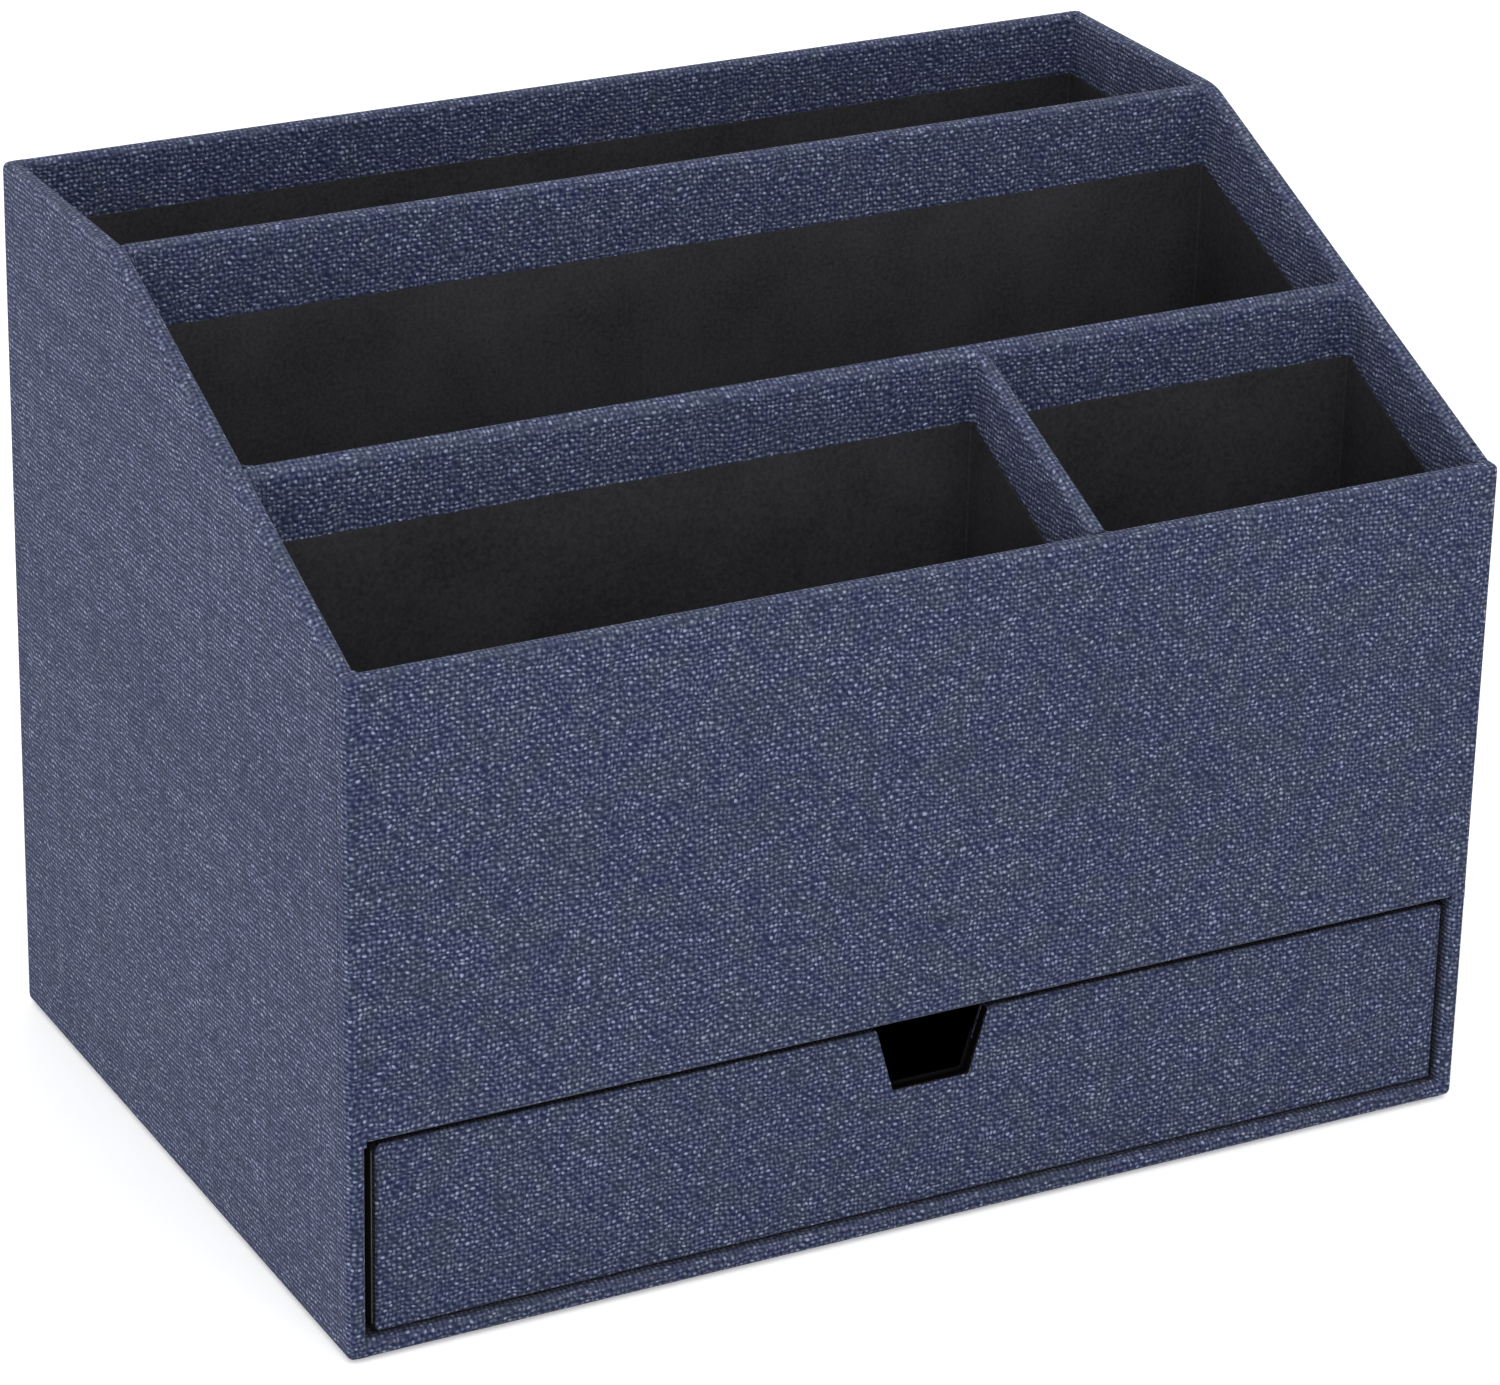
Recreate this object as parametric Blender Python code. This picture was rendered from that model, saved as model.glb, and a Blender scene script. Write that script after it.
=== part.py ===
"""Desk organizer with a drawer: a board case covered in canvas, with open pockets above a full-width drawer.

The case stands on Z = 0 with its middle at the origin. +X is to the right of someone facing it, and its
front faces -Y. All sizes are in metres.
"""
import math

import bmesh
import bpy
from mathutils import Matrix, Vector

# Case, over the canvas
CASE_WIDTH = 0.330
CASE_DEPTH = 0.221
CASE_HEIGHT = 0.248
FRONT_HEIGHT = 0.187
LEVEL_TOP_DEPTH = 0.0755
KNEE_RADIUS = 0.020
BAY_TOP = 0.0615

# Pockets, between the canvas faces that bound them
REAR_POCKET_DEPTH = 0.0675
MIDDLE_POCKET_DEPTH = 0.0722
RIGHT_POCKET_WIDTH = 0.1117

# Sheet materials
BOARD = 0.003
DRAWER_BOARD = 0.002
CANVAS = 0.0007
LINER = 0.0005
PAPER = 0.0004
FIT_GAP = 0.0003

# Folds of the canvas
EDGE_RADIUS = 0.0020
TURN_IN = 0.025
BAY_TURN_IN = 0.012
HEM = 0.015
BASE_PAPER_MARGIN = 0.004

# Canvas left bare above each liner
BARE_BACK_WALL = 0.0172
BARE_REAR_DIVIDER_BACK = 0.019
BARE_REAR_DIVIDER_FRONT = 0.0212
BARE_MIDDLE_DIVIDER_BACK = 0.0195
BARE_MIDDLE_DIVIDER_FRONT = 0.0180
BARE_FRONT_WALL = 0.0200

# Drawer
DRAWER_SIDE_GAP = 0.0020
DRAWER_REST_SHIFT = 0.0013
DRAWER_TOP_GAP = 0.0025
DRAWER_BACK_GAP = 0.002
DRAWER_RECESS = 0.003
DRAWER_FLAP = 0.002
DRAWER_TURN_IN = 0.010
DRAWER_BARE_RIM = 0.008
DRAWER_EDGE_RADIUS = 0.0012
PAPER_EDGE_RADIUS = 0.0006
NOTCH_TOP_WIDTH = 0.0330
NOTCH_FOOT_WIDTH = 0.0225
NOTCH_DEPTH = 0.0183
NOTCH_CORNER_RADIUS = 0.0006

# Drawing aids
CUT_OVERRUN = 0.001
EDGE_STEPS = 4
PAPER_EDGE_STEPS = 2
KNEE_STEPS = 8
ROUND_PROFILE = 0.5
SHARP_ANGLE = math.radians(40)
SAME_PLACE = 1e-6
AXES = "xyz"
X, Y, Z = AXES

# Finishes
CANVAS_COLOUR = (0.085, 0.105, 0.185)
CANVAS_ROUGHNESS = 0.9
LINING_COLOUR = (0.016, 0.016, 0.018)
LINING_ROUGHNESS = 0.75
GREYBOARD_COLOUR = (0.30, 0.28, 0.25)
GREYBOARD_ROUGHNESS = 0.85
BLACK_BOARD_COLOUR = (0.022, 0.021, 0.020)
BLACK_BOARD_ROUGHNESS = 0.8
CANVAS_FINISH = (CANVAS_COLOUR, CANVAS_ROUGHNESS)
LINING_FINISH = (LINING_COLOUR, LINING_ROUGHNESS)
GREYBOARD_FINISH = (GREYBOARD_COLOUR, GREYBOARD_ROUGHNESS)
BLACK_BOARD_FINISH = (BLACK_BOARD_COLOUR, BLACK_BOARD_ROUGHNESS)

# Derived places
WALL = BOARD + 2 * (CANVAS + FIT_GAP)
SKIN = CANVAS + FIT_GAP
HALF_WIDTH = CASE_WIDTH / 2
INNER_X = HALF_WIDTH - WALL
FRONT_Y = -CASE_DEPTH / 2
BACK_Y = CASE_DEPTH / 2
FRONT_INNER_Y = FRONT_Y + WALL
BACK_INNER_Y = BACK_Y - WALL
KNEE_Y = BACK_Y - LEVEL_TOP_DEPTH
SLOPE = math.atan2(CASE_HEIGHT - FRONT_HEIGHT, KNEE_Y - FRONT_INNER_Y)
CANVAS_FOOT = PAPER + FIT_GAP
BOARD_FOOT = CANVAS_FOOT + SKIN
BAY_FLOOR = BOARD_FOOT + BOARD + SKIN
SHELF_FOOT = BAY_TOP + SKIN
POCKET_FLOOR = SHELF_FOOT + BOARD + FIT_GAP
REAR_DIVIDER_BACK_Y = BACK_INNER_Y - REAR_POCKET_DEPTH
MIDDLE_DIVIDER_BACK_Y = REAR_DIVIDER_BACK_Y - WALL - MIDDLE_POCKET_DEPTH
MIDDLE_DIVIDER_FRONT_Y = MIDDLE_DIVIDER_BACK_Y - WALL
SHORT_DIVIDER_X = INNER_X - RIGHT_POCKET_WIDTH - WALL / 2
DIVIDER_END_X = INNER_X - FIT_GAP

DRAWER_HALF_WIDTH = INNER_X - DRAWER_SIDE_GAP
DRAWER_FRONT_Y = FRONT_Y + DRAWER_RECESS
DRAWER_FOOT = BAY_FLOOR + FIT_GAP
DRAWER_TOP = BAY_TOP - DRAWER_TOP_GAP
DRAWER_BOARD_FOOT = DRAWER_FOOT + SKIN
DRAWER_WALL = DRAWER_BOARD + 2 * (PAPER + FIT_GAP)
DRAWER_FRONT_WALL = DRAWER_BOARD + 2 * SKIN
DRAWER_BACK_Y = BACK_Y - SKIN - BOARD - PAPER - FIT_GAP - DRAWER_BACK_GAP
DRAWER_FRONT_INNER_Y = DRAWER_FRONT_Y + DRAWER_FRONT_WALL
DRAWER_BACK_INNER_Y = DRAWER_BACK_Y - DRAWER_WALL
DRAWER_INNER_X = DRAWER_HALF_WIDTH - DRAWER_WALL


def clear_scene():
    """Removes what the scene holds, so that only the organizer is in it."""
    for thing in list(bpy.data.objects):
        bpy.data.objects.remove(thing, do_unlink=True)


def make_material(name, colour, roughness):
    """A matte finish: none of these sheets is metal."""
    material = bpy.data.materials.new(name)
    material.use_nodes = True
    shader = material.node_tree.nodes["Principled BSDF"]
    shader.inputs["Base Color"].default_value = (*colour, 1.0)
    shader.inputs["Roughness"].default_value = roughness
    shader.inputs["Metallic"].default_value = 0.0
    material.diffuse_color = (*colour, 1.0)
    return material


def place(axis, along, first, second):
    """A point given by its distance along an axis and its two places across it, in X, Y, Z order."""
    across = [first, second]
    across.insert(AXES.index(axis), along)
    return across


def add_solid(name, mesh, finish):
    """Puts a finished bmesh into the scene as one named piece; a helper solid has no finish."""
    bmesh.ops.recalc_face_normals(mesh, faces=mesh.faces)
    data = bpy.data.meshes.new(name)
    mesh.to_mesh(data)
    mesh.free()
    solid = bpy.data.objects.new(name, data)
    bpy.context.scene.collection.objects.link(solid)
    if finish is None:
        solid.hide_render = True
        solid.display_type = "WIRE"
        return solid
    data.materials.append(make_material(name, *finish))
    data.shade_smooth()
    data.set_sharp_from_angle(angle=SHARP_ANGLE)
    return solid


def prism(name, outline, axis, low, high, finish=None, climb=0.0):
    """Extrudes an outline from low to high along an axis; climb lifts the far end by that much."""
    mesh = bmesh.new()
    face = mesh.faces.new([mesh.verts.new(place(axis, low, *point)) for point in outline])
    grown = bmesh.ops.extrude_face_region(mesh, geom=[face])["geom"]
    moved = [item for item in grown if isinstance(item, bmesh.types.BMVert)]
    shift = Vector(place(axis, high - low, 0.0, 0.0))
    shift.z += climb
    bmesh.ops.translate(mesh, verts=moved, vec=shift)
    return add_solid(name, mesh, finish)


def block(name, low, high, finish=None):
    """A box from its lowest corner to its highest."""
    left, front, foot = low
    right, back, top = high
    outline = [(left, front), (right, front), (right, back), (left, back)]
    return prism(name, outline, Z, foot, top, finish)


def at(edge, axis, value):
    """Whether a whole edge lies at one place along an axis."""
    return all(abs(getattr(vert.co, axis) - value) < SAME_PLACE for vert in edge.verts)


def above(edge, height):
    """Whether a whole edge lies at a height or over it."""
    return all(vert.co.z > height - SAME_PLACE for vert in edge.verts)


def runs_along(edge, axis):
    """Whether an edge is parallel to an axis."""
    ends = edge.verts[1].co - edge.verts[0].co
    return abs(getattr(ends, axis)) > ends.length - SAME_PLACE


def round_edges(solid, radius, wanted, steps=EDGE_STEPS):
    """Rounds the edges that a test picks out."""
    mesh = bmesh.new()
    mesh.from_mesh(solid.data)
    edges = [edge for edge in mesh.edges if wanted(edge)]
    bmesh.ops.bevel(mesh, geom=edges, offset=radius, segments=steps, profile=ROUND_PROFILE,
                    affect="EDGES", clamp_overlap=True)
    mesh.to_mesh(solid.data)
    mesh.free()


def ease_edges(solid, radius):
    """A live bevel on every sharp edge, as the crushed edge of a cut board."""
    bevel = solid.modifiers.new("eased", "BEVEL")
    bevel.width = radius
    bevel.segments = 1
    bevel.limit_method = "ANGLE"
    bevel.angle_limit = SHARP_ANGLE


def combine(solid, operation, helpers):
    """Adds one Boolean for each helper solid."""
    for helper in helpers:
        boolean = solid.modifiers.new(helper.name, "BOOLEAN")
        boolean.operation = operation
        boolean.solver = "EXACT"
        boolean.object = helper


def cut(solid, *cutters):
    combine(solid, "DIFFERENCE", cutters)


def join(solid, *extras):
    combine(solid, "UNION", extras)


def slope_height(y, inset):
    """Height of the sloping top edge, drawn an inset below the canvas."""
    return FRONT_HEIGHT + (y - FRONT_INNER_Y) * math.tan(SLOPE) - inset / math.cos(SLOPE)


def knee_centre():
    """Middle of the arc that rounds the knee of a side wall."""
    return KNEE_Y + KNEE_RADIUS * math.tan(SLOPE / 2), CASE_HEIGHT - KNEE_RADIUS


def top_height(y):
    """Height of a side wall's canvas top edge above any place between front and back."""
    centre_y, centre_z = knee_centre()
    if y >= centre_y:
        return CASE_HEIGHT
    if y > centre_y - KNEE_RADIUS * math.sin(SLOPE):
        return centre_z + math.sqrt(KNEE_RADIUS ** 2 - (centre_y - y) ** 2)
    return slope_height(y, 0.0)


def top_edge(inset, back, front):
    """The sides' top edge, back to front: level, round the knee, down the slope, level on the front wall."""
    centre_y, centre_z = knee_centre()
    radius = max(KNEE_RADIUS - inset, 0.0)
    points = [(back, CASE_HEIGHT - inset)]
    if radius == 0:
        points.append((KNEE_Y + inset * math.tan(SLOPE / 2), CASE_HEIGHT - inset))
    for step in range(KNEE_STEPS + 1 if radius > 0 else 0):
        turn = SLOPE * step / KNEE_STEPS
        points.append((centre_y - radius * math.sin(turn), centre_z + radius * math.cos(turn)))
    if front >= FRONT_INNER_Y:
        points.append((front, slope_height(front, inset)))
        return points
    points.append((FRONT_INNER_Y + inset * math.tan(SLOPE / 2), FRONT_HEIGHT - inset))
    points.append((front, FRONT_HEIGHT - inset))
    return points


def side_span(side, near, far):
    """The X range of something between two distances from the middle, on the left (-1) or right (1)."""
    return sorted((side * near, side * far))


def case_boards():
    """The greyboard carcass: two shaped sides with the other boards between them."""
    between = HALF_WIDTH - SKIN - BOARD - FIT_GAP
    front, back = FRONT_Y + SKIN, BACK_Y - SKIN
    outline = top_edge(SKIN, back, front) + [(front, BOARD_FOOT), (back, BOARD_FOOT)]
    boards = []
    for side, name in ((-1, "left_side_board"), (1, "right_side_board")):
        low, high = side_span(side, INNER_X + SKIN, HALF_WIDTH - SKIN)
        boards.append(prism(name, outline, X, low, high, GREYBOARD_FINISH))
    boards.append(block("front_board", (-between, front, SHELF_FOOT),
                        (between, front + BOARD, FRONT_HEIGHT - SKIN), GREYBOARD_FINISH))
    boards.append(block("back_board", (-between, back - BOARD, BOARD_FOOT),
                        (between, back, CASE_HEIGHT - SKIN), GREYBOARD_FINISH))
    boards.append(block("bottom_board", (-DIVIDER_END_X, front, BOARD_FOOT),
                        (DIVIDER_END_X, back - BOARD - FIT_GAP, BOARD_FOOT + BOARD), GREYBOARD_FINISH))
    boards.append(block("shelf_board", (-between, front + BOARD + FIT_GAP, SHELF_FOOT),
                        (between, back - BOARD - FIT_GAP, SHELF_FOOT + BOARD), GREYBOARD_FINISH))
    for board in boards:
        ease_edges(board, EDGE_RADIUS - SKIN)


def side_space(side, name):
    """The room that a side board takes, with its fit gap, cut out of every canvas that wraps it."""
    front, back = FRONT_Y + CANVAS, BACK_Y - CANVAS
    outline = top_edge(CANVAS, back, front) + [(front, CANVAS_FOOT + CANVAS), (back, CANVAS_FOOT + CANVAS)]
    low, high = side_span(side, INNER_X + CANVAS, HALF_WIDTH - CANVAS)
    space = prism(name, outline, X, low, high)
    ease_edges(space, EDGE_RADIUS - CANVAS)
    return space


def side_rim(side, name):
    """What leaves a side's inner top edge rounded: one profile lofted down the level top, knee and slope."""
    profile = [(-CUT_OVERRUN, EDGE_RADIUS), (-CUT_OVERRUN, -CUT_OVERRUN), (EDGE_RADIUS, -CUT_OVERRUN)]
    for step in range(EDGE_STEPS + 1):
        turn = math.pi / 2 * step / EDGE_STEPS
        profile.append((EDGE_RADIUS * (1 - math.sin(turn)), EDGE_RADIUS * (1 - math.cos(turn))))
    mesh = bmesh.new()
    rows = []
    for reach, inset in profile:
        path = top_edge(inset, BACK_INNER_Y, FRONT_INNER_Y)
        rows.append([mesh.verts.new((side * (INNER_X + reach), *point)) for point in path])
    for row, following in zip(rows, rows[1:] + rows[:1]):
        for first, second, third, fourth in zip(row, row[1:], following[1:], following):
            mesh.faces.new((first, second, third, fourth))
    mesh.faces.new([row[0] for row in rows])
    mesh.faces.new([row[-1] for row in rows])
    return add_solid(name, mesh, None)


def side_cover(side, name, space):
    """Canvas of one side: wrapped round the back corner, over the top and round the bay, and hemmed."""
    front_seam = FRONT_INNER_Y + FIT_GAP
    back_seam = BACK_INNER_Y - FIT_GAP
    opening_top = BAY_TOP - FIT_GAP
    hem_top = CANVAS_FOOT + CANVAS
    outer, inner = side * HALF_WIDTH, side * INNER_X
    outline = top_edge(0.0, BACK_Y, front_seam)
    outline += [(front_seam, opening_top), (FRONT_Y, opening_top)]
    outline += [(FRONT_Y, CANVAS_FOOT), (BACK_Y, CANVAS_FOOT)]
    low, high = side_span(side, INNER_X, HALF_WIDTH)
    cover = prism(name, outline, X, low, high, CANVAS_FINISH)

    def folded(edge):
        if at(edge, Y, FRONT_Y):
            return not at(edge, Z, opening_top)
        if at(edge, X, inner):
            return False
        if at(edge, Y, BACK_Y):
            return True
        return at(edge, X, outer) and (above(edge, FRONT_HEIGHT) or at(edge, Z, CANVAS_FOOT))

    round_edges(cover, EDGE_RADIUS, folded)
    low, high = side_span(side, INNER_X - HEM + WALL, HALF_WIDTH - EDGE_RADIUS)
    hem = block(f"{name}_hem", (low, FRONT_Y + HEM + FIT_GAP, CANVAS_FOOT),
                (high, BACK_Y - HEM - FIT_GAP, hem_top))
    join(cover, hem)

    before = front_seam - CUT_OVERRUN
    behind = BACK_Y - SKIN + FIT_GAP / 2
    top, foot = CASE_HEIGHT - SKIN + FIT_GAP / 2, hem_top + FIT_GAP / 2
    bare = [(behind, top), (back_seam, top)] + top_edge(TURN_IN, back_seam, before)
    bare += [(before, opening_top), (FRONT_Y + BAY_TURN_IN, opening_top), (FRONT_Y + BAY_TURN_IN, foot)]
    bare += [(behind, foot)]
    low, high = side_span(side, INNER_X - CUT_OVERRUN, INNER_X + SKIN)
    trim = prism(f"{name}_trim", bare, X, low, high)
    cut(cover, space, trim, side_rim(side, f"{name}_rim"))


def rim_trim():
    """What leaves the front canvas rounded over the pockets, between the sides."""
    top, behind = FRONT_HEIGHT + CUT_OVERRUN, FRONT_INNER_Y + CUT_OVERRUN
    points = [(behind, FRONT_HEIGHT - EDGE_RADIUS), (behind, top), (FRONT_INNER_Y - EDGE_RADIUS, top)]
    for step in range(EDGE_STEPS + 1):
        turn = math.pi / 2 * step / EDGE_STEPS
        points.append((FRONT_INNER_Y - EDGE_RADIUS * (1 - math.sin(turn)),
                       FRONT_HEIGHT - EDGE_RADIUS * (1 - math.cos(turn))))
    return prism("front_rim", points, X, -INNER_X, INNER_X)


def front_cover(spaces):
    """Canvas of the front wall: wrapped round both corners, folded over the top and under the lower edge."""
    cover = block("front_cover", (-HALF_WIDTH, FRONT_Y, BAY_TOP),
                  (HALF_WIDTH, FRONT_INNER_Y, FRONT_HEIGHT), CANVAS_FINISH)

    def folded(edge):
        ends = at(edge, X, -HALF_WIDTH) or at(edge, X, HALF_WIDTH)
        return at(edge, Y, FRONT_Y) or (ends and at(edge, Z, FRONT_HEIGHT))

    round_edges(cover, EDGE_RADIUS, folded)
    across = INNER_X + SKIN
    foot = BAY_TOP + CANVAS
    board_space = block("front_cover_space", (-across, FRONT_Y + CANVAS, foot),
                        (across, FRONT_INNER_Y - CANVAS, FRONT_HEIGHT - CANVAS))
    leg_trim = block("front_cover_trim", (-across, FRONT_INNER_Y - SKIN, foot),
                     (across, FRONT_INNER_Y + CUT_OVERRUN, FRONT_HEIGHT - TURN_IN))
    turn_under = block("front_turn_under", (-DIVIDER_END_X, FRONT_INNER_Y - SKIN, BAY_TOP),
                       (DIVIDER_END_X, FRONT_Y + BAY_TURN_IN, foot))
    cut(cover, *spaces, board_space, leg_trim, rim_trim())
    join(cover, turn_under)


def back_cover():
    """Canvas of the back wall: between the sides' canvas, folded over the top and hemmed under the bottom."""
    cover = block("back_cover", (-DIVIDER_END_X, BACK_INNER_Y, CANVAS_FOOT),
                  (DIVIDER_END_X, BACK_Y, CASE_HEIGHT), CANVAS_FINISH)

    def folded(edge):
        outer = at(edge, Y, BACK_Y) or at(edge, Z, CASE_HEIGHT)
        return runs_along(edge, X) and outer

    round_edges(cover, EDGE_RADIUS, folded)
    across = HALF_WIDTH
    hem_top = CANVAS_FOOT + CANVAS
    board_space = block("back_cover_space", (-across, BACK_INNER_Y + CANVAS, hem_top),
                        (across, BACK_Y - CANVAS, CASE_HEIGHT - CANVAS))
    leg_trim = block("back_cover_trim", (-across, BACK_INNER_Y - CUT_OVERRUN, hem_top),
                     (across, BACK_INNER_Y + SKIN, CASE_HEIGHT - TURN_IN))
    hem = block("back_hem", (-DIVIDER_END_X, BACK_Y - HEM, CANVAS_FOOT),
                (DIVIDER_END_X, BACK_INNER_Y + SKIN, hem_top))
    cut(cover, board_space, leg_trim)
    join(cover, hem)


def case_covers():
    """The canvas of the case's outer walls."""
    left_space = side_space(-1, "left_side_space")
    right_space = side_space(1, "right_side_space")
    side_cover(-1, "left_side_cover", left_space)
    side_cover(1, "right_side_cover", right_space)
    front_cover((left_space, right_space))
    back_cover()


def bottom_edge_cover():
    """Canvas round the front edge of the bottom board, below the drawer."""
    hem_top = CANVAS_FOOT + CANVAS
    lip = [(FRONT_Y + HEM, CANVAS_FOOT), (FRONT_Y, CANVAS_FOOT), (FRONT_Y, BAY_FLOOR)]
    lip += [(FRONT_Y + BAY_TURN_IN, BAY_FLOOR), (FRONT_Y + BAY_TURN_IN, BAY_FLOOR - CANVAS)]
    lip += [(FRONT_Y + CANVAS, BAY_FLOOR - CANVAS), (FRONT_Y + CANVAS, hem_top), (FRONT_Y + HEM, hem_top)]
    cover = prism("bottom_edge_cover", lip, X, -DIVIDER_END_X, DIVIDER_END_X, CANVAS_FINISH)
    round_edges(cover, EDGE_RADIUS, lambda edge: at(edge, Y, FRONT_Y) and runs_along(edge, X))


def base_paper():
    """Black paper over the hems under the bottom: what the organizer stands on."""
    reach_x, reach_y = HALF_WIDTH - BASE_PAPER_MARGIN, BACK_Y - BASE_PAPER_MARGIN
    block("base_paper", (-reach_x, -reach_y, 0.0), (reach_x, reach_y, PAPER), LINING_FINISH)


def cross_divider(name, back_y, back_top, front_top):
    """A full-width divider: its board, and the canvas cap folded over the top of it."""
    front_y = back_y - WALL
    board_end = DIVIDER_END_X - SKIN
    board_back, board_front = back_y - SKIN, front_y + SKIN
    board = [(board_back, POCKET_FLOOR), (board_back, back_top - SKIN)]
    board += [(board_front, front_top - SKIN), (board_front, POCKET_FLOOR)]
    solid = prism(f"{name}_board", board, X, -board_end, board_end, GREYBOARD_FINISH)
    ease_edges(solid, EDGE_RADIUS - SKIN)

    foot = front_top - TURN_IN
    cap = [(back_y, foot), (back_y, back_top), (front_y, front_top), (front_y, foot)]
    cover = prism(f"{name}_cover", cap, X, -DIVIDER_END_X, DIVIDER_END_X, CANVAS_FINISH)

    def folded(edge):
        outside = at(edge, Y, back_y) or at(edge, Y, front_y)
        return outside and above(edge, front_top) and runs_along(edge, X)

    round_edges(cover, EDGE_RADIUS, folded)
    space_back, space_front = back_y - CANVAS, front_y + CANVAS
    space = [(space_back, foot - CUT_OVERRUN), (space_back, back_top - CANVAS)]
    space += [(space_front, front_top - CANVAS), (space_front, foot - CUT_OVERRUN)]
    space_end = DIVIDER_END_X - CANVAS
    cut(cover, prism(f"{name}_space", space, X, -space_end, space_end))


def ridge(name, half, front_y, back_y, inset, foot, finish=None):
    """A bar from front to back over the short divider's middle line, its top following the slope."""
    left, right = SHORT_DIVIDER_X - half, SHORT_DIVIDER_X + half
    top = slope_height(front_y, inset)
    climb = slope_height(back_y, inset) - top
    outline = [(left, foot), (right, foot), (right, top), (left, top)]
    return prism(name, outline, Y, front_y, back_y, finish, climb)


def short_divider():
    """The divider between the two front pockets, whose top slopes down to the front wall."""
    front_y = FRONT_INNER_Y + FIT_GAP
    back_y = MIDDLE_DIVIDER_FRONT_Y - FIT_GAP
    core = BOARD / 2
    board_front, board_back = front_y + SKIN, back_y - SKIN
    board = [(board_back, POCKET_FLOOR), (board_back, slope_height(board_back, SKIN))]
    board += [(board_front, slope_height(board_front, SKIN)), (board_front, POCKET_FLOOR)]
    low, high = SHORT_DIVIDER_X - core, SHORT_DIVIDER_X + core
    solid = prism("short_divider_board", board, X, low, high, GREYBOARD_FINISH)
    ease_edges(solid, EDGE_RADIUS - SKIN)

    half = WALL / 2
    top = slope_height(front_y, 0.0)
    cover = ridge("short_divider_cover", half, front_y, back_y, 0.0, top - TURN_IN, CANVAS_FINISH)

    def folded(edge):
        lengthways = not at(edge, Y, front_y) and not at(edge, Y, back_y)
        return lengthways and above(edge, top) and not runs_along(edge, X)

    round_edges(cover, EDGE_RADIUS, folded)
    foot = top - TURN_IN - CUT_OVERRUN
    cut(cover, ridge("short_divider_space", half - CANVAS, front_y + CANVAS, back_y - CANVAS, CANVAS, foot))


def pocket_liner(name, left, right, front, back, front_rim, back_rim):
    """A black card tray: floor and four walls, their rim sloping from back to front."""
    mesh = bmesh.new()
    outline = ((front, POCKET_FLOOR), (back, POCKET_FLOOR), (back, back_rim), (front, front_rim))
    ends = [[mesh.verts.new((x, *point)) for point in outline] for x in (left, right)]
    for end in ends:
        mesh.faces.new(end)
    for first, second in ((0, 1), (1, 2), (3, 0)):
        mesh.faces.new((ends[0][first], ends[0][second], ends[1][second], ends[1][first]))
    tray = add_solid(name, mesh, LINING_FINISH)
    thicken = tray.modifiers.new("card", "SOLIDIFY")
    thicken.thickness = LINER
    thicken.offset = -1.0
    thicken.use_even_offset = True


def pocket_liners():
    """One liner for each pocket, its faces a fit gap inside the canvas."""
    left, right = -INNER_X + FIT_GAP, INNER_X - FIT_GAP
    back = BACK_INNER_Y - FIT_GAP
    front = REAR_DIVIDER_BACK_Y + FIT_GAP
    pocket_liner("rear_pocket_liner", left, right, front, back,
                 CASE_HEIGHT - BARE_REAR_DIVIDER_BACK, CASE_HEIGHT - BARE_BACK_WALL)
    back = REAR_DIVIDER_BACK_Y - WALL - FIT_GAP
    front = MIDDLE_DIVIDER_BACK_Y + FIT_GAP
    pocket_liner("middle_pocket_liner", left, right, front, back,
                 top_height(front) - BARE_MIDDLE_DIVIDER_BACK, top_height(back) - BARE_REAR_DIVIDER_FRONT)
    back = MIDDLE_DIVIDER_FRONT_Y - FIT_GAP
    front = FRONT_INNER_Y + FIT_GAP
    rims = (FRONT_HEIGHT - BARE_FRONT_WALL, top_height(back) - BARE_MIDDLE_DIVIDER_FRONT)
    clear = WALL / 2 + FIT_GAP
    pocket_liner("left_pocket_liner", left, SHORT_DIVIDER_X - clear, front, back, *rims)
    pocket_liner("right_pocket_liner", SHORT_DIVIDER_X + clear, right, front, back, *rims)


def bay_liner():
    """Black paper round the drawer bay: floor, sides, ceiling and back, open to the front."""
    half = INNER_X + CANVAS
    front = FRONT_Y + BAY_TURN_IN + FIT_GAP
    back = BACK_INNER_Y + CANVAS
    floor = BAY_FLOOR - CANVAS
    ceiling = BAY_TOP + CANVAS
    sleeve = block("bay_liner", (-half, front, floor), (half, back, ceiling), LINING_FINISH)
    hollow = block("bay_hollow", (-half + PAPER, front - CUT_OVERRUN, floor + PAPER),
                   (half - PAPER, back - PAPER, ceiling - PAPER))
    cut(sleeve, hollow)


def notch_cutter():
    """The finger notch through the drawer front: a trapezium, wider at the top, with eased lower corners."""
    foot = DRAWER_TOP - NOTCH_DEPTH
    lean = (NOTCH_TOP_WIDTH - NOTCH_FOOT_WIDTH) / 2 / NOTCH_DEPTH
    half_foot = NOTCH_FOOT_WIDTH / 2
    half_top = NOTCH_TOP_WIDTH / 2 + lean * CUT_OVERRUN
    top = DRAWER_TOP + CUT_OVERRUN
    outline = [(-half_foot, foot), (half_foot, foot), (half_top, top), (-half_top, top)]
    cutter = prism("notch_cutter", outline, Y, DRAWER_FRONT_Y - CUT_OVERRUN, DRAWER_FRONT_INNER_Y + WALL)
    round_edges(cutter, NOTCH_CORNER_RADIUS, lambda edge: runs_along(edge, Y) and at(edge, Z, foot))
    return cutter


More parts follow.
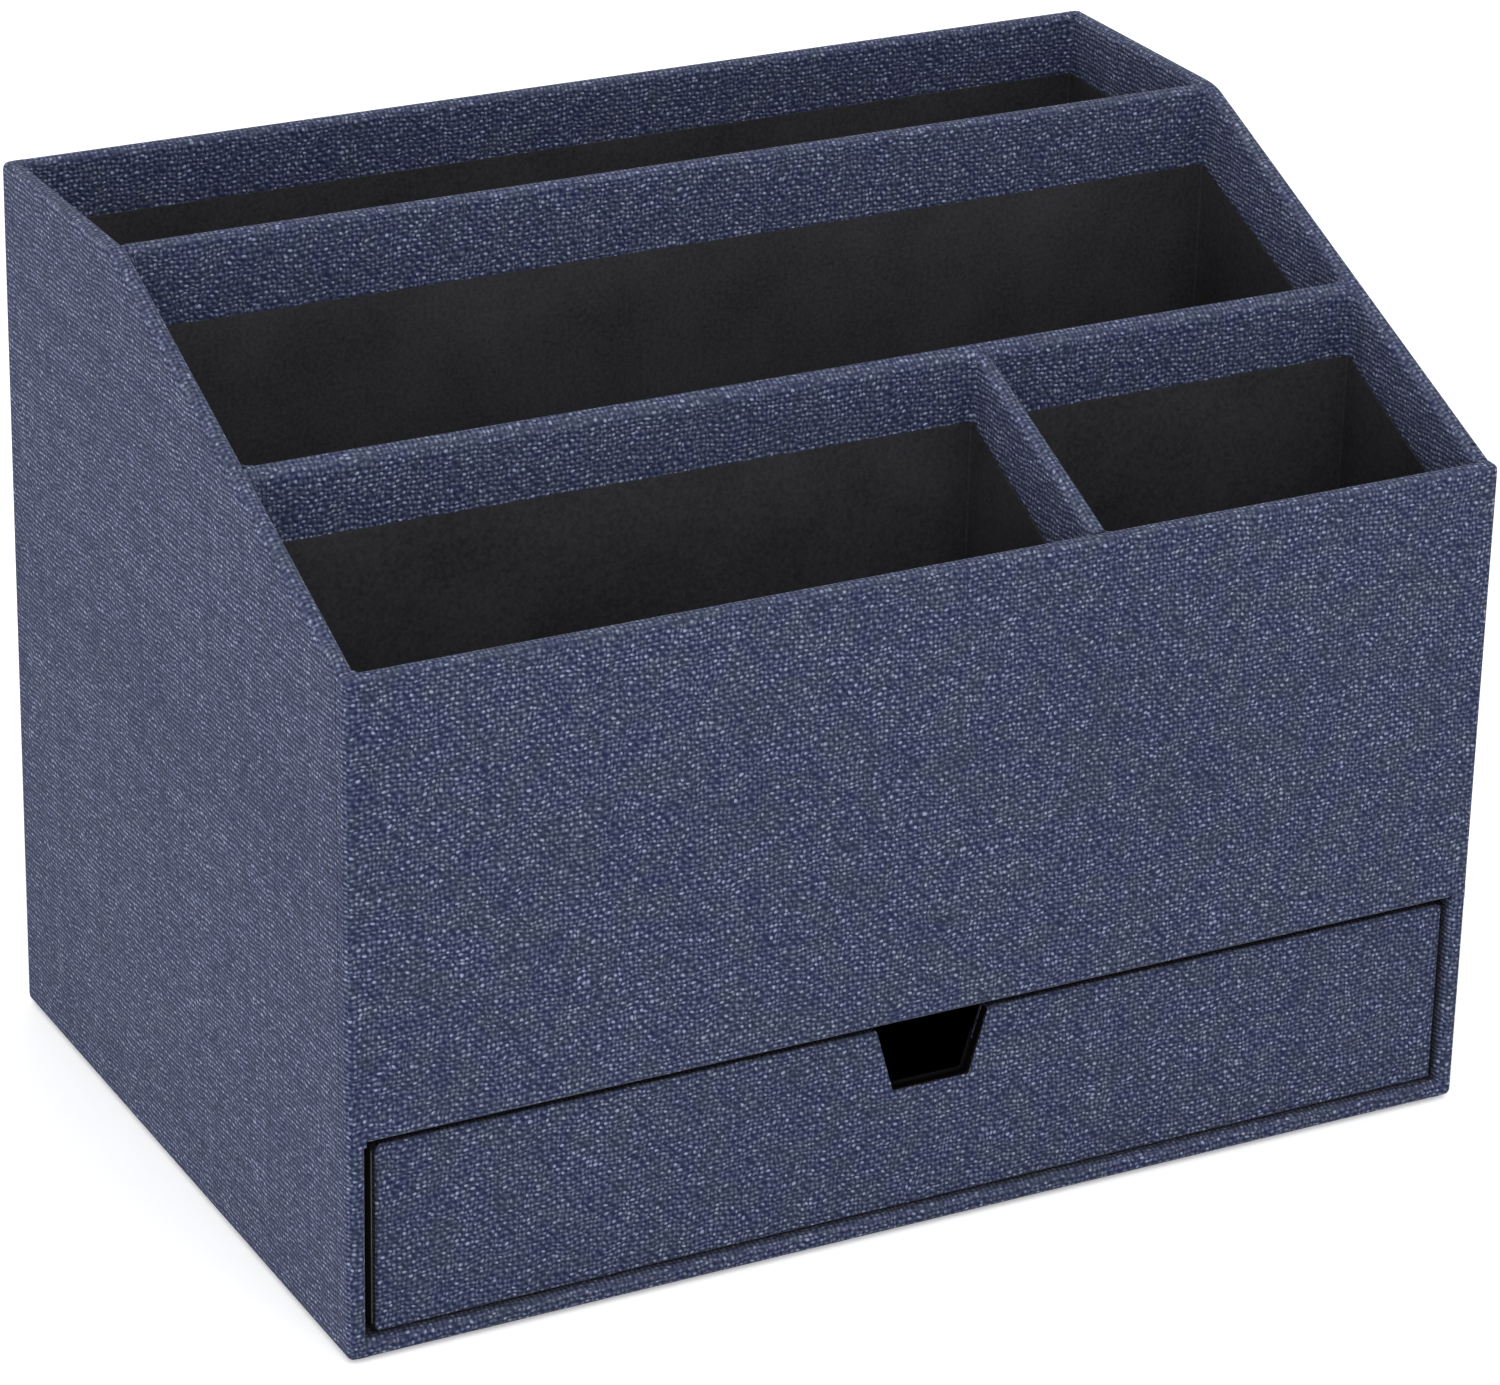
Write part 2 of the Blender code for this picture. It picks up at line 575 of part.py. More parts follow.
def drawer_boards(notch):
    """Front, back, two sides and bottom of the drawer."""
    foot = DRAWER_BOARD_FOOT
    top = DRAWER_TOP - PAPER - FIT_GAP
    outer_x = DRAWER_HALF_WIDTH - PAPER - FIT_GAP
    inner_x = outer_x - DRAWER_BOARD
    front = DRAWER_FRONT_Y + SKIN
    behind_front = front + DRAWER_BOARD + FIT_GAP
    back = DRAWER_BACK_Y - PAPER - FIT_GAP
    end_x = DRAWER_HALF_WIDTH - SKIN
    face = block("drawer_front_board", (-end_x, front, foot),
                 (end_x, front + DRAWER_BOARD, DRAWER_TOP - SKIN), BLACK_BOARD_FINISH)
    cut(face, notch)
    for side, name in ((-1, "drawer_left_board"), (1, "drawer_right_board")):
        low, high = side_span(side, inner_x, outer_x)
        block(name, (low, behind_front, foot), (high, back, top), BLACK_BOARD_FINISH)
    end_x = inner_x - FIT_GAP
    block("drawer_back_board", (-end_x, back - DRAWER_BOARD, foot), (end_x, back, top), BLACK_BOARD_FINISH)
    block("drawer_bottom_board", (-end_x, behind_front, foot),
          (end_x, back - DRAWER_BOARD - FIT_GAP, foot + DRAWER_BOARD), BLACK_BOARD_FINISH)


def drawer_front_cover(notch):
    """Canvas of the drawer front: face, short folds round the ends, and a turn-in over the top."""
    low = (-DRAWER_HALF_WIDTH, DRAWER_FRONT_Y, DRAWER_FOOT)
    high = (DRAWER_HALF_WIDTH, DRAWER_FRONT_INNER_Y, DRAWER_TOP)
    cover = block("drawer_front_cover", low, high, CANVAS_FINISH)

    def folded(edge):
        inner_rim = at(edge, Y, DRAWER_FRONT_INNER_Y) and at(edge, Z, DRAWER_TOP)
        return at(edge, Y, DRAWER_FRONT_Y) or inner_rim

    round_edges(cover, DRAWER_EDGE_RADIUS, folded)
    leg_end = DRAWER_INNER_X - FIT_GAP
    corners = []
    for side, name in ((-1, "drawer_corner_left"), (1, "drawer_corner_right")):
        near, far = side_span(side, leg_end, DRAWER_HALF_WIDTH + CUT_OVERRUN)
        corners.append(block(name, (near, DRAWER_FRONT_Y + DRAWER_FLAP, DRAWER_FOOT - CUT_OVERRUN),
                             (far, DRAWER_FRONT_INNER_Y + CUT_OVERRUN, DRAWER_TOP + CUT_OVERRUN)))
    end_x = DRAWER_HALF_WIDTH - CANVAS
    foot, top = DRAWER_FOOT + CANVAS, DRAWER_TOP - CANVAS
    board_space = block("drawer_front_space", (-end_x, DRAWER_FRONT_Y + CANVAS, foot),
                        (end_x, DRAWER_FRONT_INNER_Y - CANVAS, top))
    leg_trim = block("drawer_front_trim", (-end_x, DRAWER_FRONT_INNER_Y - SKIN, foot),
                     (end_x, DRAWER_FRONT_INNER_Y + CUT_OVERRUN, DRAWER_TOP - DRAWER_TURN_IN))
    cut(cover, *corners, board_space, leg_trim, notch)


def drawer_wrap():
    """Black paper outside the drawer's sides, back and bottom, folded over the top edges."""
    front = DRAWER_FRONT_Y + DRAWER_FLAP + FIT_GAP
    foot = DRAWER_BOARD_FOOT - FIT_GAP - PAPER
    half, inner = DRAWER_HALF_WIDTH, DRAWER_INNER_X
    before = front - CUT_OVERRUN
    wrap = block("drawer_wrap", (-half, front, foot), (half, DRAWER_BACK_Y, DRAWER_TOP), LINING_FINISH)

    def folded(edge):
        return not at(edge, Y, front)

    round_edges(wrap, PAPER_EDGE_RADIUS, folded, PAPER_EDGE_STEPS)
    hollow = block("drawer_wrap_hollow", (-inner, before, foot + PAPER),
                   (inner, DRAWER_BACK_INNER_Y, DRAWER_TOP + CUT_OVERRUN))
    outer_x, board_x = half - PAPER, inner + PAPER
    front_strip = block("drawer_wrap_front", (-board_x, before, foot - CUT_OVERRUN),
                        (board_x, DRAWER_FRONT_INNER_Y + FIT_GAP, DRAWER_TOP - PAPER))
    outer_y, board_y = DRAWER_BACK_Y - PAPER, DRAWER_BACK_INNER_Y + PAPER
    ring = [(-outer_x, before), (-board_x, before), (-board_x, board_y), (board_x, board_y)]
    ring += [(board_x, before), (outer_x, before), (outer_x, outer_y), (-outer_x, outer_y)]
    board_space = prism("drawer_wrap_space", ring, Z, foot + PAPER, DRAWER_TOP - PAPER)
    leg_x = inner + PAPER + FIT_GAP
    leg_trim = block("drawer_wrap_trim", (-leg_x, before, foot + PAPER),
                     (leg_x, DRAWER_BACK_INNER_Y + PAPER + FIT_GAP, DRAWER_TOP - DRAWER_TURN_IN))
    cut(wrap, hollow, front_strip, board_space, leg_trim)


def drawer_liner(notch):
    """Black card tray inside the drawer, cut away at the finger notch."""
    half = DRAWER_INNER_X - FIT_GAP
    front = DRAWER_FRONT_INNER_Y + FIT_GAP
    back = DRAWER_BACK_INNER_Y - FIT_GAP
    floor = DRAWER_BOARD_FOOT + DRAWER_BOARD + FIT_GAP
    rim = DRAWER_TOP - DRAWER_BARE_RIM
    tray = block("drawer_liner", (-half, front, floor), (half, back, rim), LINING_FINISH)
    hollow = block("drawer_liner_hollow", (-half + LINER, front + LINER, floor + LINER),
                   (half - LINER, back - LINER, DRAWER_TOP))
    cut(tray, hollow, notch)


def rest_drawer():
    """Moves the drawer and what cuts it to where the drawer rests in its loose bay: nearer the right side."""
    shift = Matrix.Translation((DRAWER_REST_SHIFT, 0.0, 0.0))
    for solid in bpy.data.objects:
        if solid.name.startswith(("drawer_", "notch_")):
            solid.data.transform(shift)


def build():
    """Makes every piece of the case, then of the drawer."""
    clear_scene()
    case_boards()
    case_covers()
    bottom_edge_cover()
    base_paper()
    cross_divider("rear_divider", REAR_DIVIDER_BACK_Y, CASE_HEIGHT, CASE_HEIGHT)
    cross_divider("middle_divider", MIDDLE_DIVIDER_BACK_Y,
                  top_height(MIDDLE_DIVIDER_BACK_Y), top_height(MIDDLE_DIVIDER_FRONT_Y))
    short_divider()
    pocket_liners()
    bay_liner()
    notch = notch_cutter()
    drawer_boards(notch)
    drawer_front_cover(notch)
    drawer_wrap()
    drawer_liner(notch)
    rest_drawer()


build()
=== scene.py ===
"""The desk organizer in its photograph's light: canvas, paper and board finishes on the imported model."""

import math

import bmesh
import bpy
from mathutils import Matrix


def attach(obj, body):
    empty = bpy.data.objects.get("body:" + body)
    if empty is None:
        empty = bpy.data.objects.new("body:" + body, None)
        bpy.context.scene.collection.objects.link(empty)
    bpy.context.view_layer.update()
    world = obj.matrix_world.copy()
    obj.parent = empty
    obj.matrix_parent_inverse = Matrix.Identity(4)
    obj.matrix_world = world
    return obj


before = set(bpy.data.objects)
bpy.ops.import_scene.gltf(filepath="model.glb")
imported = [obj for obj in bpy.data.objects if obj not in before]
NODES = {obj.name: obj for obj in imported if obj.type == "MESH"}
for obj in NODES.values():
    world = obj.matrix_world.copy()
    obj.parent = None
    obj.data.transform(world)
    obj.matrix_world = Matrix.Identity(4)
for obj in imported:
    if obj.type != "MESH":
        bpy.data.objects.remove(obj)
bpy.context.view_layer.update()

MM = 0.001

# Walls, folds and the drawer's front.
WALL = 5.0 * MM              # a covered wall's whole thickness
FOLD_RADIUS = 2.0 * MM       # of the cloth round an edge
RIM_LEG = 4.0 * MM           # how far a strip over a rim reaches down each face
DRAWER_ROUND = 2.4 * MM      # painted shade makes the drawer front's corners look rounded by this much
NOTCH_REACH = 20 * MM        # half width and depth of a box round the finger notch
NOTCH_RIM = 0.1 * MM         # the box starts this far under the drawer front's top
SEAM_HALF = 0.40 * MM        # half width of the dark line where cloth ends on the outer sides

# Pieces that soften corners and joins.
CORNER_RADIUS = 2.4 * MM
CORNER_STEPS = 5
CORNER_UNDER = FOLD_RADIUS * 0.7  # the cloth in a corner ends this far under the rim
LINER_GAP = 0.3 * MM         # between a card lining and the cloth beside it
PATCH_LIFT = 0.05 * MM       # how far a strip of cloth stands out over a join
PATCH_DEPTH = 0.25 * MM      # and how far it goes in
PATCH_HALF = 0.7 * MM        # how far it reaches past the join
PAPER_SHOW = 0.25 * MM       # how much of the paper's cut edge shows
PAPER_BACK = 1.4 * MM        # how far it lies behind the drawer front's face
SHARP_ANGLE = math.radians(40)

# Threads.
THREAD_PITCH = 1.33 * MM
THREAD_RELIEF = 0.35 * MM
WOBBLE_SCALE = 130.0
WOBBLE_REACH = 3.2 * MM      # how far threads stray from a straight line
SIDE_WOBBLE = 0.8            # share of that on faces that look along X

# The weave. Lengths are in threads, tones run from 0 between threads to 1 on a pale nub.
CHANCE_SHIFTS = (0.0, 211.5, 433.5, 655.5)
NUB_STRAY = 0.56             # how far a nub sits off its crossing's middle
WEFT_NUB = (0.48, 0.38)      # half lengths of a nub along U and V
WARP_NUB = (0.36, 0.52)
WARP_HEIGHT = 0.7            # the warp lies lower than the weft
YARN_BAND = (0.34, 0.66)     # noise values that the yarn's range is spread over
YARN_STEP = 3.7              # sets neighbouring threads apart in the noise
YARN_RUN = 0.30              # how fast a thread changes along its length
WEFT_SEED, WEFT_YARN = 3.0, (0.45, 1.25)
WARP_SEED, WARP_YARN = 8.0, (0.10, 1.60)
PALE_POWER, PALE_RANGE, PALE_LEAST = 2.2, 0.86, 0.26
WARP_TONE = 0.28
SPARK_ABOVE, SPARK_POWER, SPARK_TONE = 0.96, 0.8, 0.55
SLANT_TONE = -0.06           # a faint slant across the rows
ROW_TONE, COLUMN_TONE = 0.10, 0.05
RUN_ON_TONE, RUN_ON_SHARE = 0.50, 0.24
ROW_SEED, ROW_SWING = 17.5, (0.14, 0.40)        # the swings are on the front and on the sides
COLUMN_SEED, COLUMN_SWING = 31.5, (0.10, 0.30)
TICK_POWER, TICK_FAINTEST, TICK_TONE, TICK_GROUND = 1.4, 0.15, 0.75, 0.12
FURROW_DEPTH = (0.28, 0.66)  # on the front and on the sides
FURROW_LIGHT = 0.93
RIM_SHARE = 0.22             # how much of the weave gives way to ticks on a face that looks up

# Unevenness of the cloth's colour, and a painted highlight with a little wear along folds that face up.
NOISE_BAND = (0.3, 0.7)
MOTTLE_SCALE, MOTTLE_SWING = 110.0, (0.88, 1.12)
CLOUD_SCALE, CLOUD_SWING = 14.0, (0.93, 1.07)
HUE_SCALE, HUE_BAND, GREYER_SHARE = 120.0, (0.4, 0.62), 0.45
SIDE_GREYER = -0.6           # change of that share on faces that look along X
WEAR_AND_HIGHLIGHT_SHARE = 0.08            # of grey along a fold: painted highlight, and a little wear
WEAR_AND_HIGHLIGHT_START, WEAR_AND_HIGHLIGHT_END = (0.25, 0.6), (0.8, 0.98)  # how far a surface faces up there
DASH_SCALE, DASH_BAND, DASH_SWING = 420.0, (0.40, 0.55), (0.85, 0.25)

# Paper, card and board.
PAPER_GRAIN, BOARD_GRAIN = 900.0, 500.0
PAPER_RELIEF = 0.04 * MM
PAPER_CLOUD_SCALE = 30.0
FINE_SHARE, CLOUD_SHARE = 0.6, 0.4

# Painted shade: black in the narrow gaps round the drawer, where shade falls.
END_BAND, END_SHADE = (0.35, 0.85), 0.92     # a band says how squarely a surface faces an axis
ROUND_BAND, ROUND_SHADE = (0.2, 0.6), 0.7
GAP_SHARE = 0.80
SHADE_DELAY = 0.8 * MM       # the case starts to darken this far behind its front
SHADE_PAST = 0.3 * MM        # and is darkest this far behind the drawer's face
SHADE_REACH = 30 * MM

# Light and camera.
FLOOR_SIZE = 8.0
FLOOR_HEIGHT = -0.0002
FLOOR_LIFT = 0.34            # light added to the floor for the camera alone
AMBIENT = 0.87
KEY_LIGHT = {"spot": (-2.1, -0.5, 0.30), "target": (0.0, 0.0, 0.12), "size": (1.6, 0.5), "power": 9.8}
TOP_LIGHT = {"spot": (-0.2, -1.3, 1.8), "target": (0.0, 0.0, 0.10), "size": (1.8, 1.8), "power": 15.4}
IMAGE_WIDTH = 1500
FOCAL_PIXELS = 5761.6
SENSOR_WIDTH = 36.0
CAMERA_SHIFT = -0.05
CAMERA_SPOT = (-0.668497, -1.251675, 0.743001)
CAMERA_TURN = (1.16303, -0.02079, -0.48323)


class Graph:
    """Builds shader nodes as short expressions."""

    def __init__(self, tree):
        self.nodes = tree.nodes
        self.links = tree.links

    def add(self, kind, **settings):
        node = self.nodes.new(kind)
        for key, value in settings.items():
            setattr(node, key, value)
        return node

    def feed(self, socket, value):
        """Links a socket, or sets a plain value on one."""
        if isinstance(value, bpy.types.NodeSocket):
            self.links.new(value, socket)
        elif value is not None:
            socket.default_value = value

    def math(self, operation, first, second=None, third=None, clamp=False):
        node = self.add("ShaderNodeMath", operation=operation, use_clamp=clamp)
        for socket, value in zip(node.inputs, (first, second, third)):
            self.feed(socket, value)
        return node.outputs[0]

    def times(self, first, *others):
        """The product of two or more values."""
        for other in others:
            first = self.math("MULTIPLY", first, other)
        return first

    def between(self, value, low, high):
        """1 where a value lies between two others, else 0."""
        return self.times(self.math("GREATER_THAN", value, low), self.math("LESS_THAN", value, high))

    def mix(self, share, first, second):
        """Mixes two values, which go in at the node's inputs 2 and 3."""
        node = self.add("ShaderNodeMix", data_type="FLOAT")
        self.feed(node.inputs[0], share)
        self.feed(node.inputs[2], first)
        self.feed(node.inputs[3], second)
        return node.outputs[0]

    def blend(self, share, first, second):
        """Mixes two colours, which go in at the node's inputs 6 and 7."""
        node = self.add("ShaderNodeMix", data_type="RGBA")
        self.feed(node.inputs[0], share)
        self.feed(node.inputs[6], first)
        self.feed(node.inputs[7], second)
        return node.outputs[2]

    def remap(self, value, low, high, new_low=0.0, new_high=1.0):
        """Carries a value from one range over to another, held within it."""
        node = self.add("ShaderNodeMapRange")
        for socket, item in zip(node.inputs, (value, low, high, new_low, new_high)):
            self.feed(socket, item)
        return node.outputs[0]

    def noise(self, vector, scale, detail, roughness=0.5, colour=False):
        node = self.add("ShaderNodeTexNoise", noise_dimensions="3D")
        self.feed(node.inputs["Vector"], vector)
        node.inputs["Scale"].default_value = scale
        node.inputs["Detail"].default_value = detail
        node.inputs["Roughness"].default_value = roughness
        return node.outputs["Color" if colour else "Fac"]

    def random(self, first, second):
        """A random value for each pair of numbers."""
        node = self.add("ShaderNodeTexWhiteNoise", noise_dimensions="2D")
        self.links.new(self.join(first, second, 0.0), node.inputs["Vector"])
        return node.outputs["Value"]

    def split(self, vector):
        node = self.add("ShaderNodeSeparateXYZ")
        self.feed(node.inputs[0], vector)
        return node.outputs

    def join(self, x, y, z):
        node = self.add("ShaderNodeCombineXYZ")
        for socket, value in zip(node.inputs, (x, y, z)):
            self.feed(socket, value)
        return node.outputs[0]

    def bump(self, height, strength, distance):
        """The normal of a surface with a relief."""
        node = self.add("ShaderNodeBump")
        node.inputs["Strength"].default_value = strength
        node.inputs["Distance"].default_value = distance
        self.feed(node.inputs["Height"], height)
        return node.outputs["Normal"]


def rgb(red, green, blue):
    """A linear colour from the 0-255 values it shows as."""
    def linear(value):
        share = value / 255
        return share / 12.92 if share <= 0.04045 else ((share + 0.055) / 1.055) ** 2.4
    return (linear(red), linear(green), linear(blue), 1.0)


def box(name):
    """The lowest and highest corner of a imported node."""
    node = NODES[name]
    corners = [node.matrix_world @ vert.co for vert in node.data.vertices]
    return ([min(corner[axis] for corner in corners) for axis in range(3)],
            [max(corner[axis] for corner in corners) for axis in range(3)])


WHITE = (1.0, 1.0, 1.0, 1.0)
FLOOR_PALE = (0.93, 0.93, 0.93, 1.0)
GROUND, PALE = rgb(28, 36, 68), rgb(147, 156, 187)
GROUND_GREY, PALE_GREY = rgb(38, 48, 65), rgb(146, 156, 172)
SHEEN = rgb(196, 194, 204)
# A painted highlight with a little wear, on folds that face up.
WEAR_AND_HIGHLIGHT_GREY = rgb(122, 122, 136)
CUT_EDGE = rgb(20, 19, 19)
# Painted shade in the narrow gaps round the drawer, and the black of the finger notch's cut faces.
NOTCH_AND_SHADE_BLACK = rgb(5, 5, 7)

# Where the object's faces lie.
SIDE_X, BACK_FACE, TOP = box("right_side_cover")[1]
FRONT_FACE = box("left_side_cover")[0][1]
(_, FRONT_OUTER, BAY_TOP), (_, FRONT_INNER, _) = box("front_cover")
LIP_LOW, LIP_HIGH = (corner[2] for corner in box("bottom_edge_cover"))
DRAWER_LOW, DRAWER_HIGH = box("drawer_front_cover")
DRAWER_MIDDLE = [(low + high) / 2 for low, high in zip(DRAWER_LOW, DRAWER_HIGH)]
DRAWER_REACH = [(high - low) / 2 - DRAWER_ROUND for low, high in zip(DRAWER_LOW, DRAWER_HIGH)]
NOTCH_HIGH = DRAWER_HIGH[2] - NOTCH_RIM
NOTCH_LOW = NOTCH_HIGH - NOTCH_REACH
OPENING_X = SIDE_X - WALL + FOLD_RADIUS
OPENING_LOW = LIP_HIGH - FOLD_RADIUS
OPENING_HIGH = BAY_TOP + FOLD_RADIUS
SHADE_START = FRONT_OUTER + SHADE_DELAY
SHADE_END = DRAWER_LOW[1] + SHADE_PAST


def off_centre(g, within, nudge):
    """Distance from a nub's middle, which sits a little off the middle of its crossing."""
    centred = g.math("SUBTRACT", within, 0.5)
    return g.math("MULTIPLY_ADD", g.math("SUBTRACT", nudge, 0.5), NUB_STRAY, centred)


def nub(g, offsets, reaches):
    """1 in the middle of a nub, falling to 0 at its rim."""
    squares = [g.math("POWER", g.math("DIVIDE", g.math("ABSOLUTE", offset), reach), 2.0)
               for offset, reach in zip(offsets, reaches)]
    return g.math("SUBTRACT", 1.0, g.math("ADD", *squares), clamp=True)


def ridges(g, count):
    """1 along the middle of each thread, 0 between threads."""
    wave = g.math("COSINE", g.times(g.math("SUBTRACT", count, 0.5), 2 * math.pi))
    return g.math("MULTIPLY_ADD", wave, 0.5, 0.5)


def yarn(g, thread, along, seed, swing):
    """How thick and pale a thread is along its length."""
    spot = g.join(g.times(thread, YARN_STEP), g.times(along, YARN_RUN), seed)
    return g.remap(g.noise(spot, 1.0, 2.0, 0.6), *YARN_BAND, *swing)


def nub_tone(g, counts, parity, nubs, yarns, chance):
    """How pale the nubs are, with a few very pale ones and a faint slant across the rows."""
    pale = g.math("MULTIPLY_ADD", g.math("POWER", chance[2], PALE_POWER), PALE_RANGE, PALE_LEAST)
    tone = g.mix(parity, g.times(nubs[0], pale, yarns[0]), g.times(nubs[1], WARP_TONE, yarns[1]))
    spark = g.times(g.math("GREATER_THAN", chance[3], SPARK_ABOVE), g.math("POWER", nubs[0], SPARK_POWER))
    tone = g.math("MULTIPLY_ADD", spark, SPARK_TONE, tone)
    slant = g.math("COSINE", g.times(g.math("ADD", *counts), math.pi))
    return g.math("MULTIPLY_ADD", slant, SLANT_TONE, tone)


def thread_tone(g, tone, rows, columns, yarns, rib):
    """Adds the light on the threads themselves and, where Rib is 1, makes the rows run on."""
    tone = g.math("ADD", tone, g.times(rows, ROW_TONE, yarns[0]))
    tone = g.math("ADD", tone, g.times(columns, COLUMN_TONE, yarns[1]))
    run_on = g.times(rows, RUN_ON_TONE, yarns[0])
    return g.mix(g.times(rib, RUN_ON_SHARE), tone, run_on)


def uneven_tone(g, tone, row, column, rib):
    """Makes some threads darker than others all along."""
    for thread, seed, swings in ((row, ROW_SEED, ROW_SWING), (column, COLUMN_SEED, COLUMN_SWING)):
        swing = g.mix(rib, *swings)
        least = g.math("MULTIPLY_ADD", swing, -0.5, 1.0)
        tone = g.times(tone, g.math("MULTIPLY_ADD", g.random(thread, seed), swing, least))
    return tone


def tick_tone(g, tone, columns, chance, rim):
    """Lays short ticks over a fold, where the threads that cross it show."""
    ticks = g.times(g.math("POWER", columns, TICK_POWER), g.remap(chance, 0.0, 1.0, TICK_FAINTEST, 1.0))
    return g.mix(rim, tone, g.math("MULTIPLY_ADD", ticks, TICK_TONE, TICK_GROUND))


def furrow_tone(g, tone, rows, rib):
    """Darkens the furrows between the rows."""
    depth = g.mix(rib, *FURROW_DEPTH)
    least = g.math("MULTIPLY_ADD", depth, -0.5, FURROW_LIGHT)
    return g.times(tone, g.math("MULTIPLY_ADD", rows, depth, least))


def weave_group():
    """Plain weave: U and V count threads; Rim is 1 where the cloth is folded over an edge across U.

    Rib makes the rows run on, as they look where the cloth is seen along its threads.
    Height is the cloth's relief and Tone how light it looks, from 0 between threads to 1 on a pale nub.
    """
    tree = bpy.data.node_groups.new("weave", "ShaderNodeTree")
    for way, names in (("INPUT", ("U", "V", "Rim", "Rib")), ("OUTPUT", ("Height", "Tone"))):
        for name in names:
            tree.interface.new_socket(name=name, in_out=way, socket_type="NodeSocketFloat")
    g = Graph(tree)
    source, sink = g.add("NodeGroupInput"), g.add("NodeGroupOutput")
    u, v, rim, rib = (source.outputs[name] for name in ("U", "V", "Rim", "Rib"))
    column, row = g.math("FLOOR", u), g.math("FLOOR", v)
    parity = g.math("FLOORED_MODULO", g.math("ADD", column, row), 2.0)
    chance = [g.random(g.math("ADD", column, shift), row) for shift in CHANCE_SHIFTS]
    offsets = [off_centre(g, g.math("FRACT", count), nudge) for count, nudge in zip((u, v), chance)]
    nubs = [nub(g, offsets, reaches) for reaches in (WEFT_NUB, WARP_NUB)]
    yarns = [yarn(g, row, u, WEFT_SEED, WEFT_YARN), yarn(g, column, v, WARP_SEED, WARP_YARN)]
    rows, columns = ridges(g, v), ridges(g, u)
    tone = nub_tone(g, (u, v), parity, nubs, yarns, chance)
    tone = thread_tone(g, tone, rows, columns, yarns, rib)
    tone = uneven_tone(g, tone, row, column, rib)
    tone = tick_tone(g, tone, columns, chance[2], rim)
    tone = furrow_tone(g, tone, rows, rib)
    height = g.mix(parity, nubs[0], g.times(nubs[1], WARP_HEIGHT))
    g.feed(sink.inputs["Height"], g.mix(rim, height, columns))
    g.feed(sink.inputs["Tone"], g.math("MAXIMUM", tone, 0.0))
    return tree


def new_material(name):
    """A new material, the graph that feeds it, and its shader."""
    material = bpy.data.materials.new(name)
    material.use_nodes = True
    g = Graph(material.node_tree)
    return material, g, g.nodes["Principled BSDF"]


def wobbled(g, spot, on_x):
    """A spot's three parts, each moved a little, so that no thread runs dead straight."""
    reach = g.mix(on_x, WOBBLE_REACH, WOBBLE_REACH * SIDE_WOBBLE)
    moved = g.add("ShaderNodeVectorMath", operation="MULTIPLY_ADD")
    g.feed(moved.inputs[0], g.noise(spot, WOBBLE_SCALE, 2.0, colour=True))
    g.feed(moved.inputs[1], g.join(reach, reach, reach))
    g.feed(moved.inputs[2], spot)
    return g.split(moved.outputs[0])


def laid_weave(g, weave, moved, on_x, on_z, rim_runs_along_y):
    """The weave's height and tone on a surface, with its threads square to the object."""
    x, y, z = moved
    backward = g.times(y, -1.0)
    across = g.mix(on_x, x, backward)
    down = g.mix(on_z, z, backward)
    if rim_runs_along_y:
        across = g.mix(on_z, across, backward)
        down = g.mix(on_z, down, x)
    threads = g.add("ShaderNodeGroup", node_tree=weave)
    g.feed(threads.inputs["U"], g.math("DIVIDE", across, THREAD_PITCH))
    g.feed(threads.inputs["V"], g.math("DIVIDE", down, THREAD_PITCH))
    g.feed(threads.inputs["Rim"], g.times(on_z, RIM_SHARE))
    g.feed(threads.inputs["Rib"], on_x)
    return threads.outputs["Height"], threads.outputs["Tone"]


def cloth_colour(g, spot, tone, on_x):
    """Pale nubs over a dark ground, mottled, and greyer in places."""
    mottle = g.noise(spot, MOTTLE_SCALE, 3.0, 0.6)
    cloud = g.noise(spot, CLOUD_SCALE, 2.0)
    tone = g.times(tone, g.remap(mottle, *NOISE_BAND, *MOTTLE_SWING))
    tone = g.math("MULTIPLY", tone, g.remap(cloud, *NOISE_BAND, *CLOUD_SWING), clamp=True)
    hue = g.noise(spot, HUE_SCALE, 1.0)
    greyer = g.times(g.remap(hue, *HUE_BAND, 0.0, GREYER_SHARE),
                     g.math("MULTIPLY_ADD", on_x, SIDE_GREYER, 1.0))
    return g.blend(greyer, g.blend(tone, GROUND, PALE), g.blend(tone, GROUND_GREY, PALE_GREY))


def fold_share(g, facing_z):
    """1 along the round of a folded edge, 0 on level and upright faces."""
    return g.times(g.remap(facing_z, *WEAR_AND_HIGHLIGHT_START), g.remap(facing_z, *WEAR_AND_HIGHLIGHT_END, 1.0, 0.0))


def seam_share(g, spot, x, y):
    """The uneven dark line on the outer sides, where one piece of cloth ends on another."""
    outside = g.math("GREATER_THAN", g.math("ABSOLUTE", x), SIDE_X - 2 * SEAM_HALF)
    beside = g.math("LESS_THAN", g.math("ABSOLUTE", g.math("SUBTRACT", y, FRONT_INNER)), SEAM_HALF)
    dashes = g.remap(g.noise(spot, DASH_SCALE, 1.0), *DASH_BAND, *DASH_SWING)
    return g.times(outside, beside, dashes)


